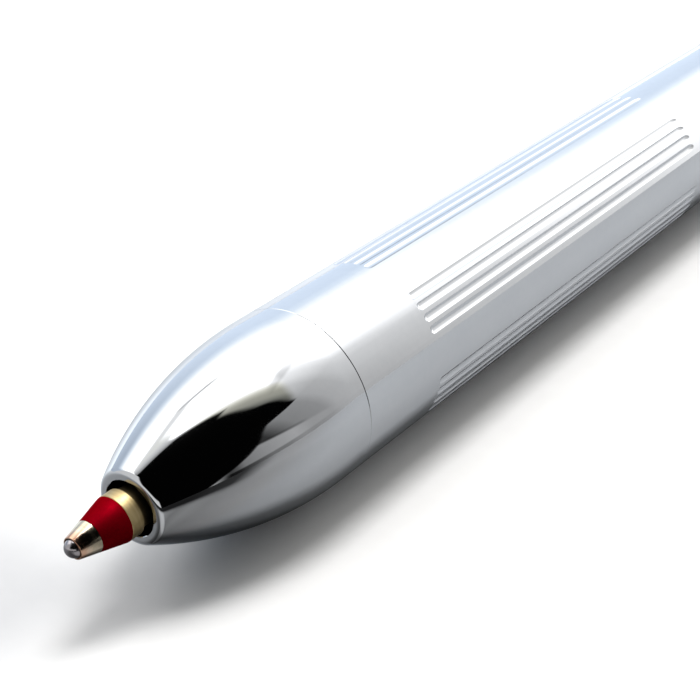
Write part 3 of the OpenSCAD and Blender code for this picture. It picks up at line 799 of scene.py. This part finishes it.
def combine(bm, others, operation):
    base = scratchPiece(bm)
    tools = [scratchPiece(other) for other in others]
    for tool in tools:
        cut = base.modifiers.new("combine", "BOOLEAN")
        cut.operation = operation
        cut.solver = "EXACT"
        cut.object = tool
    graph = bpy.context.evaluated_depsgraph_get()
    mesh = bpy.data.meshes.new_from_object(base.evaluated_get(graph))
    out = bmesh.new()
    out.from_mesh(mesh)
    for piece in (base, *tools):
        spare = piece.data
        bpy.data.objects.remove(piece)
        bpy.data.meshes.remove(spare)
    bpy.data.meshes.remove(mesh)
    return out


def boxBetween(low, high):  # corners as (out, s, across)
    bm = bmesh.new()
    low, high = spotAt(*low), spotAt(*high)
    bmesh.ops.create_cube(bm, size=1)
    bmesh.ops.scale(bm, vec=high - low, verts=bm.verts)
    bmesh.ops.translate(bm, vec=(low + high) / 2, verts=bm.verts)
    return bm


def rodAt(out, place, radius, length, direction):
    bm = bmesh.new()
    bmesh.ops.create_cone(
        bm, cap_ends=True, segments=rodSegments, radius1=radius * mm, radius2=radius * mm, depth=length * mm,
    )
    turn = Vector((0, 0, 1)).rotation_difference(Vector(direction)).to_matrix()
    bmesh.ops.rotate(bm, cent=(0, 0, 0), matrix=turn, verts=bm.verts)
    bmesh.ops.translate(bm, vec=spotAt(out, place), verts=bm.verts)
    return bm


cap = {
    "start": endOf("rear_barrel"), "end": endOf("end_cap"), "endGap": 0.0005, "domeR": 7.0, "domeSteps": 32,
    "plugLen": 6.0, "plugGap": 0.02, "edge": 0.12, "edgeSegments": 5, "frontBreak": 0.03,
    "pinHoleR": 0.52, "slotW": 2.6, "slotReach": 1.8,
    "seatBehindPin": 2.75, "seatR": 0.85, "seatDepth": 1.7, "steps": 192,
}


def buildCap(c):
    dome = c["end"] - c["endGap"] - c["domeR"]
    sweep = math.degrees(math.asin(barrelR / c["domeR"]))
    shoulder = dome + c["domeR"] * math.cos(math.radians(sweep))
    plugR = barrelInR - c["plugGap"]
    plugFront = c["start"] - c["plugLen"]
    line = [
        (plugFront, 0), (plugFront, plugR), (c["start"], plugR),
        (c["start"], barrelR - c["frontBreak"]), (c["start"] + c["frontBreak"], barrelR),
        (shoulder, barrelR), (dome, 0, sweep, c["domeSteps"]),
    ]
    bm = turnOnLathe(line, c["steps"])
    roundEdges(bm, [e for e in bm.edges if liesAt(e, shoulder)], c["edge"], c["edgeSegments"])
    reach = 2 * barrelR
    seatFloor = barrelR - c["seatDepth"]
    seatPlace = pinPlace + c["seatBehindPin"]
    cutters = [
        boxBetween((pinOut - c["slotReach"], pinPlace - c["slotReach"], -c["slotW"] / 2),
                   (reach, pinPlace + c["slotReach"], c["slotW"] / 2)),
        rodAt(pinOut, pinPlace, c["pinHoleR"], 2 * reach, (0, 0, 1)),
        rodAt((seatFloor + reach) / 2, seatPlace, c["seatR"], reach - seatFloor, (1, 0, 0)),
    ]
    bmesh.ops.transform(bm, matrix=clipTurn.inverted(), verts=bm.verts)
    bm = combine(bm, cutters, "DIFFERENCE")
    bmesh.ops.transform(bm, matrix=clipTurn, verts=bm.verts)
    putPiece(bm, "endCap", "chrome", "rear", "chrome", "end_cap")


buildCap(cap)

clipPiece = {
    "gap": 0.8, "thick": 0.9, "width": 3.4, "endWidth": 2.4, "beadR": 0.9, "beadGap": 0.05,
    "earW": 2.4, "earR": 1.5, "pinHoleR": 0.55, "edge": 0.14, "edgeSegments": 4,
    "beadSteps": 24, "endSteps": 16,
}


def clipOutline(bm, c, front, tail):  # side view of the arm: flat outside, round ends, and a bead under the free end
    inner, half = barrelR + c["gap"], c["thick"] / 2
    beadPlace = front + 2 * c["beadR"]
    beadOut = barrelR + c["beadGap"] + c["beadR"]
    rise = math.degrees(math.acos((beadOut - inner) / c["beadR"]))
    foot = c["beadR"] * math.sin(math.radians(rise))
    drawLine(bm, [
        (tail, inner), (beadPlace + foot, inner), (beadPlace, beadOut, 2 * rise, c["beadSteps"]), (front, inner),
        (front, inner + half, -180, c["endSteps"]),
        (tail, inner + c["thick"]), (tail, inner + half, -180, c["endSteps"]),
    ])


def buildClip(c):
    half = c["thick"] / 2
    bm = bmesh.new()
    clipOutline(bm, c, startOf("clip") + half, endOf("clip") - half)
    bmesh.ops.remove_doubles(bm, verts=bm.verts, dist=mergeDist)
    face = bmesh.ops.contextual_create(bm, geom=bm.edges[:])["faces"]
    made = bmesh.ops.extrude_face_region(bm, geom=face)
    bmesh.ops.translate(bm, vec=(0, 0, c["width"] * mm), verts=newVerts(made))
    bmesh.ops.translate(bm, vec=(0, 0, -c["width"] / 2 * mm), verts=bm.verts)
    bmesh.ops.recalc_face_normals(bm, faces=bm.faces)
    frontEnd = along(startOf("clip"))
    for vert in bm.verts:  # the arm tapers to its free end
        share = min(1, (vert.co.y - frontEnd) / (along(pinPlace) - frontEnd))
        vert.co.z *= (c["endWidth"] + (c["width"] - c["endWidth"]) * share) / c["width"]
    roundEdges(bm, sharpEdges(bm), c["edge"], c["edgeSegments"], clamp=True)
    ear = rodAt(pinOut, pinPlace, c["earR"], c["earW"], (0, 0, 1))
    stalk = boxBetween((pinOut, pinPlace - c["earR"], -c["earW"] / 2),
                       (barrelR + c["gap"] + half, pinPlace + c["earR"], c["earW"] / 2))
    bm = combine(bm, [ear, stalk], "UNION")
    bm = combine(bm, [rodAt(pinOut, pinPlace, c["pinHoleR"], 2 * c["width"], (0, 0, 1))], "DIFFERENCE")
    bmesh.ops.transform(bm, matrix=clipTurn, verts=bm.verts)
    putPiece(bm, "clipArm", "chrome", "clip_body", "chrome", "clip")


buildClip(clipPiece)

pin = {"radius": 0.5, "endGap": 0.05, "dome": 0.08, "domeSegments": 4}


def buildPin(p):
    length = 2 * math.sqrt(barrelR ** 2 - (pinOut + p["radius"]) ** 2) - 2 * p["endGap"]
    bm = rodAt(pinOut, pinPlace, p["radius"], length, (0, 0, 1))
    roundEdges(bm, sharpEdges(bm), p["dome"], p["domeSegments"], clamp=True)
    bmesh.ops.transform(bm, matrix=clipTurn, verts=bm.verts)
    putPiece(bm, "clipPin", "steel", "rear", "steel", "clip_pin")


buildPin(pin)


# springs

wireShape = {"ringsPerCurl": 24, "sides": 10, "crease": 60}
returnSpring = {"radius": 1.125, "wire": 0.35, "curls": 9, "fromWall": 2.3}
clipSpring = {"radius": 0.6, "wire": 0.3, "curls": 3, "gap": 0.02, "press": 0.34}
redSide = Vector(joints["red_tilt"]["pos_m"])
redSide = Vector((redSide.x, 0, redSide.z)).normalized()


def coilOfWire(p, length):  # stands on the origin, along +Y
    bm = bmesh.new()
    bmesh.ops.create_circle(bm, segments=wireShape["sides"], radius=p["wire"] / 2 * mm)
    bmesh.ops.translate(bm, vec=(p["radius"] * mm, 0, 0), verts=bm.verts)
    steps = p["curls"] * wireShape["ringsPerCurl"]
    bmesh.ops.spin(
        bm, geom=bm.verts[:] + bm.edges[:], cent=(0, 0, 0), axis=(0, 1, 0), dvec=(0, length / steps * mm, 0),
        angle=p["curls"] * 2 * math.pi, steps=steps,
    )
    bmesh.ops.holes_fill(bm, edges=[e for e in bm.edges if e.is_boundary], sides=wireShape["sides"])
    bmesh.ops.recalc_face_normals(bm, faces=bm.faces)
    return bm


def buildReturnSpring(colour, side, p):
    node = colour + "_return_spring"
    first, last = startOf(node) + p["wire"] / 2, endOf(node) - p["wire"] / 2
    bm = coilOfWire(p, last - first)
    offset = side * (barrelInR - p["fromWall"]) * mm
    bmesh.ops.translate(bm, vec=offset + Vector((0, along(first), 0)), verts=bm.verts)
    return putPiece(bm, colour + "ReturnSpring", "steel", "front", "steel", node, crease=wireShape["crease"])


buildReturnSpring("red", redSide, returnSpring)
blackSpring = buildReturnSpring("black", -redSide, returnSpring)
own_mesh(blackSpring)


def buildClipSpring(p):
    seat, reach = barrelR - cap["seatDepth"], barrelR + clipPiece["gap"]
    place = pinPlace + cap["seatBehindPin"]
    ends = p["gap"] + p["wire"] / 2
    bm = coilOfWire(p, reach - seat - 2 * ends)
    bmesh.ops.rotate(bm, cent=(0, 0, 0), matrix=Matrix.Rotation(-math.pi / 2, 3, "Z"), verts=bm.verts)
    bmesh.ops.translate(bm, vec=spotAt(seat + ends, place), verts=bm.verts)
    bmesh.ops.transform(bm, matrix=clipTurn, verts=bm.verts)
    piece = putPiece(bm, "clipSpring", "steel", "rear", "steel", "clip_spring", crease=wireShape["crease"])
    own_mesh(piece)


buildClipSpring(clipSpring)


# refills: drawn on the pen's axis with the point out, then set in their holders

refill = {
    "tubeR": 1.175, "tubeInR": 0.975, "tubeFront": -1.0, "rear": 63.2,
    "collarEnd": -0.2, "neckR": 1.02, "neckEnd": 1.5, "shoulder": 0.12, "shoulderSteps": 8,
    "shankEnd": 6.5, "shankR": 0.955, "channelR": 0.25, "rimPlace": -3.45, "rimR": 0.55, "rimSegments": 3,
    "ballR": 0.47, "ballPlace": -3.33, "ballGap": 0.03, "ballSegments": (48, 24), "seatSteps": 12,
    "bandEnd": -2.45, "bandThick": 0.06, "bandGap": 0.01, "bandFrontGap": 0.02, "bandSegments": 3,
    "soft": 0.03, "steps": 96,
}


def coneR(r, place):
    return r["tubeR"] - (r["tubeR"] - r["rimR"]) * (place - r["tubeFront"]) / (r["rimPlace"] - r["tubeFront"])


def pointLine(r):
    sunk = r["bandThick"] + r["bandGap"]
    bandEndR = coneR(r, r["bandEnd"])
    seatR = r["ballR"] + r["ballGap"]
    lipDrop = r["ballPlace"] - r["rimPlace"]
    lip = math.sqrt(seatR ** 2 - lipDrop ** 2)
    turn = math.degrees(math.atan2(lipDrop, lip)) + math.degrees(math.acos(r["channelR"] / seatR))
    return [
        (r["shankEnd"], r["channelR"]), (r["shankEnd"], r["shankR"]), (r["tubeFront"], r["shankR"]),
        (r["tubeFront"], r["tubeR"] - sunk), (r["bandEnd"], bandEndR - sunk), (r["bandEnd"], bandEndR),
        (r["rimPlace"], r["rimR"]), (r["rimPlace"], lip), (r["ballPlace"], 0, turn, r["seatSteps"]),
        (r["shankEnd"], r["channelR"]),
    ]


def bandLine(r):
    rear, front = r["tubeFront"], r["bandEnd"] + r["bandFrontGap"]
    rearR, frontR = r["tubeR"], coneR(r, front)
    return [
        (rear, rearR - r["bandThick"]), (rear, rearR), (front, frontR),
        (front, frontR - r["bandThick"]), (rear, rearR - r["bandThick"]),
    ]


def brassLine(r):  # the tube is rolled in behind its front collar
    front, rear, outR, inR = r["tubeFront"], r["rear"], r["tubeR"], r["tubeInR"]
    soft, drop = r["soft"], r["shoulder"]
    return [
        (front, inR), (front, outR - soft), (front + soft, outR),
        (r["collarEnd"] - drop, outR), (r["collarEnd"] - drop, outR - drop, -90, r["shoulderSteps"]),
        (r["collarEnd"], r["neckR"]), (r["neckEnd"], r["neckR"]), (r["neckEnd"] + drop, outR),
        (rear - soft, outR), (rear, outR - soft), (rear, inR), (front, inR),
    ]


def refillPlace(colour):
    turn = Matrix.Rotation(-lean, 4, tiltAxis) if colour == "red" else Matrix.Identity(4)
    pivot = Vector(joints[colour + "_tilt"]["pos_m"])
    return Matrix.Translation(pivot) @ turn @ Matrix.Translation((0, -joints["red_tilt"]["pos_m"][1], 0))


def buildRefill(colour, r):
    place = refillPlace(colour)
    tube = turnOnLathe(brassLine(r), r["steps"])
    point = turnOnLathe(pointLine(r), r["steps"])
    rim = [e for e in sharpEdges(point) if liesAt(e, r["rimPlace"])]
    roundEdges(point, rim, r["soft"], r["rimSegments"])
    band = turnOnLathe(bandLine(r), r["steps"])
    roundEdges(band, sharpEdges(band), r["soft"] / 2, r["bandSegments"], clamp=True)
    ball = bmesh.new()
    around, down = r["ballSegments"]
    bmesh.ops.create_uvsphere(ball, u_segments=around, v_segments=down, radius=r["ballR"] * mm)
    bmesh.ops.translate(ball, vec=spotAt(0, r["ballPlace"]), verts=ball.verts)
    for bm, node, name, look, slot in (
        (tube, "_refill_tube", "RefillTube", colour + "Tube", "refill_brass"),
        (point, "_point", "Point", colour + "Point", "point_nickel"),
        (band, "_band", "Band", colour + "Lacquer", colour + "_lacquer"),
        (ball, "_ball", "Ball", "carbide", "carbide"),
    ):
        bmesh.ops.transform(bm, matrix=place, verts=bm.verts)
        putPiece(bm, colour + name, look, colour + "_refill", slot, colour + node)


buildRefill("red", refill)
buildRefill("black", refill)


# inner pieces keep their solids and get their finish

innerLooks = {
    "guide_body": "brass", "friction_ring": "rubber", "cam_sleeve": "acetal", "cam_keeper": "brass",
    "drive_bush": "brass", "hub_screw": "steel", "red_ink": "redInk", "black_ink": "blackInk",
    "red_holder": "holderPlastic", "black_holder": "holderPlastic",
    "red_plunger": "redPlastic", "black_plunger": "blackPlastic",
}
for node, look in innerLooks.items():
    mesh = frame["nodes"][node].data
    mesh.materials.clear()
    mesh.materials.append(looks[look])
print(len(innerLooks), "inner pieces finished")


# floor: white to the camera but for painted shade at the near left; the polished pen sees painted shade on it that
# deepens towards the unlit room and under the pen

floorSheet = {
    "size": 2.0, "gap": 0.002, "specular": 0.1,
    "roughness": (0.75, 0.85), "fibre": 900.0, "fibreDetail": 4.0, "fibreSpread": (0.3, 0.7), "fibreTone": 0.985,
    # the sheet has painted shade at the near left, greyed where light falls off in front of the nose; lengths in mm
    "white": (0.87, 0.862, 0.85), "paintedShadeGrey": (0.57, 0.57, 0.575),
    "paintedShadeX": (2, -4), "paintedShadeBehind": (6, -3), "paintedShadeFar": (40, 12),
    # painted shade and light that the pen sees on it: by how far a place faces the room, by x in mm, and far off;
    # darker towards the unlit room and under the pen, lighter far to the left, with a bluish painted tint on the left
    "facing": [
        (-1, (0.59, 0.62, 0.66)), (-0.967, (0.76, 0.8, 0.85)), (-0.9, (0.83, 0.88, 0.93)), (-0.8, (0.76, 0.8, 0.84)),
        (-0.6, (0.485, 0.5, 0.52)), (-0.3, (0.43, 0.44, 0.453)), (0, (0.39, 0.4, 0.41)), (0.2, (0.323, 0.33, 0.338)),
        (0.4, 0.26), (0.7, 0.185), (0.8, 0.2), (0.86, 0.15), (0.9, 0.2), (0.95, 0.4), (1, 0.45),
    ],
    "across": [
        (-60, 1.12), (-30, 0.92), (-15, 0.64), (-5, 0.58), (-1, 0.47), (0.5, 0.37), (2, 0.38), (3.2, 0.9), (10, 1.0),
    ],
    "farPaintedShade": [(-0.2, 1.0), (0.1, 1.12), (0.5, 1.2), (0.55, 1.1), (0.69, 0.1), (0.85, 0.02), (1, 0.005)],
    "farStarts": (18, 40),
}


def spanMm(span):
    return [value * mm for value in span]


def paperLook(f):
    material = bpy.data.materials.new("paper")
    material.use_nodes = True
    tree = material.node_tree
    shader = tree.nodes["Principled BSDF"]
    shader.inputs["Specular IOR Level"].default_value = f["specular"]
    coords = objectCoords(tree)
    x, y, z = addNode(tree, "ShaderNodeSeparateXYZ", Vector=coords).outputs
    fibre = addNode(tree, "ShaderNodeTexNoise", Vector=coords, Scale=f["fibre"], Detail=f["fibreDetail"]).outputs["Fac"]
    setInput(tree, shader.inputs["Roughness"], mapped(tree, fibre, *f["fibreSpread"], *f["roughness"]))
    behind = sums(tree, "SUBTRACT", y, rimY)
    squares = [sums(tree, "MULTIPLY", side, side) for side in (x, behind)]
    far = sums(tree, "SQRT", sums(tree, "ADD", *squares))
    nearer = sums(tree, "DIVIDE", facingRoom(tree, x, behind), far)
    # painted shade and light that only the pen's reflections see: darker under the pen and towards the unlit room,
    # lighter far to the left
    across = profile(tree, x, [(place * mm, share) for place, share in f["across"]])
    farPaintedShade = mapped(tree, far, *spanMm(f["farStarts"]), 1.0, profile(tree, nearer, f["farPaintedShade"]))
    paintedShadeSeen = scaled(tree, profile(tree, nearer, f["facing"]), within(tree, across, farPaintedShade))
    # painted shade: the camera sees the near-left corner of the sheet greyed
    limits = ((x, "paintedShadeX"), (behind, "paintedShadeBehind"), (far, "paintedShadeFar"))
    corner = within(tree, *(mapped(tree, value, *spanMm(f[key])) for value, key in limits))
    white = mixed(tree, corner, (*f["white"], 1), (*f["paintedShadeGrey"], 1))
    white = scaled(tree, white, mapped(tree, fibre, *f["fibreSpread"], 1.0, f["fibreTone"]))
    seen = addNode(tree, "ShaderNodeLightPath").outputs["Is Camera Ray"]
    tree.links.new(mixed(tree, seen, paintedShadeSeen, white), shader.inputs["Base Color"])
    return material


def layFloor(f):
    bm = bmesh.new()
    bmesh.ops.create_grid(bm, x_segments=2, y_segments=2, size=f["size"])
    bmesh.ops.translate(bm, vec=(0, 0, cadBox[0].z - f["gap"] * mm), verts=bm.verts)
    mesh = bpy.data.meshes.new("floor")
    bm.to_mesh(mesh)
    bm.free()
    mesh.materials.append(paperLook(f))
    floor = bpy.data.objects.new("floor", mesh)
    scene.collection.objects.link(floor)


layFloor(floorSheet)
print("floor laid")
